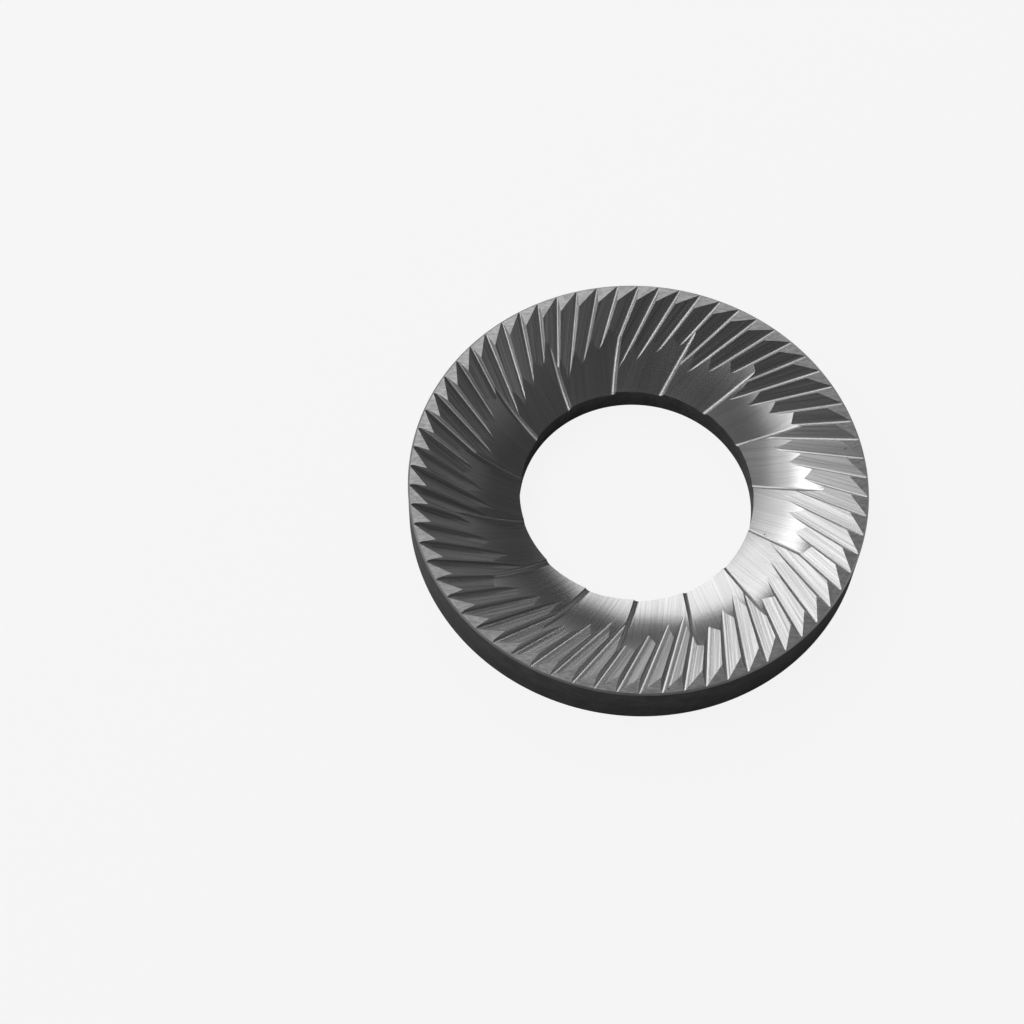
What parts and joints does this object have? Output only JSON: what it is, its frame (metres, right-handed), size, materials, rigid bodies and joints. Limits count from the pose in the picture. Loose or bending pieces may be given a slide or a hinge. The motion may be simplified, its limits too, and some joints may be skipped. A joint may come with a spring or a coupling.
{
  "type": "coffee grinder burr",
  "caption": "Flat ring burr with swept cutting teeth on one face, deeper feed grooves around its bore, and blind dowel holes in its flat back.",
  "frame": {"origin": "centre of the ring on its flat back face", "axes": "+Z along the ring axis from the back face to the toothed face; the root of one fine groove, drawn out to the rim, points along +X"},
  "size_m": [0.08, 0.08, 0.01],
  "materials": {
    "burr_steel": "ground hardened steel: fine grinding lines along the grooves, turned rim, satin ground back"
  },
  "bodies": {
    "root": {"burr": "burr_steel"}
  },
  "joints": []
}
